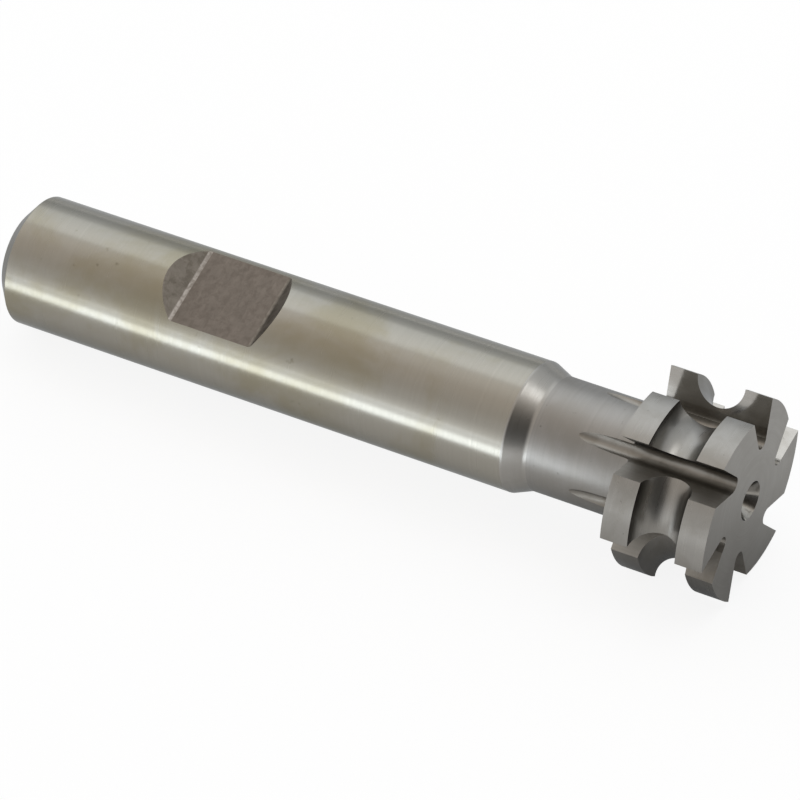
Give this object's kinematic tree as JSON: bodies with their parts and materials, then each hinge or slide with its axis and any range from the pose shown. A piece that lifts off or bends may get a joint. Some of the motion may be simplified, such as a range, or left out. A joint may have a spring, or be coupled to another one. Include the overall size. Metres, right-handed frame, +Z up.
{
  "type": "concave milling cutter",
  "caption": "One-piece milling cutter with a straight shank, a set-screw flat, a stepped neck and a head of form-relieved teeth whose half-round hollow mills a rounded edge.",
  "frame": {"origin": "on the tool axis, at the plane of the shank's back end face", "axes": "+X along the tool axis from the shank to the cutting head, +Z up as the cutter lies at rest on a tooth tip and the next land"},
  "size_m": [0.0771, 0.0198, 0.0178],
  "materials": {
    "tool_steel": "ground bright on the shank, finely ground and satin on the neck and head, dull milled on the set-screw flat"
  },
  "bodies": {
    "root": {"concave_cutter": "tool_steel"}
  },
  "joints": []
}
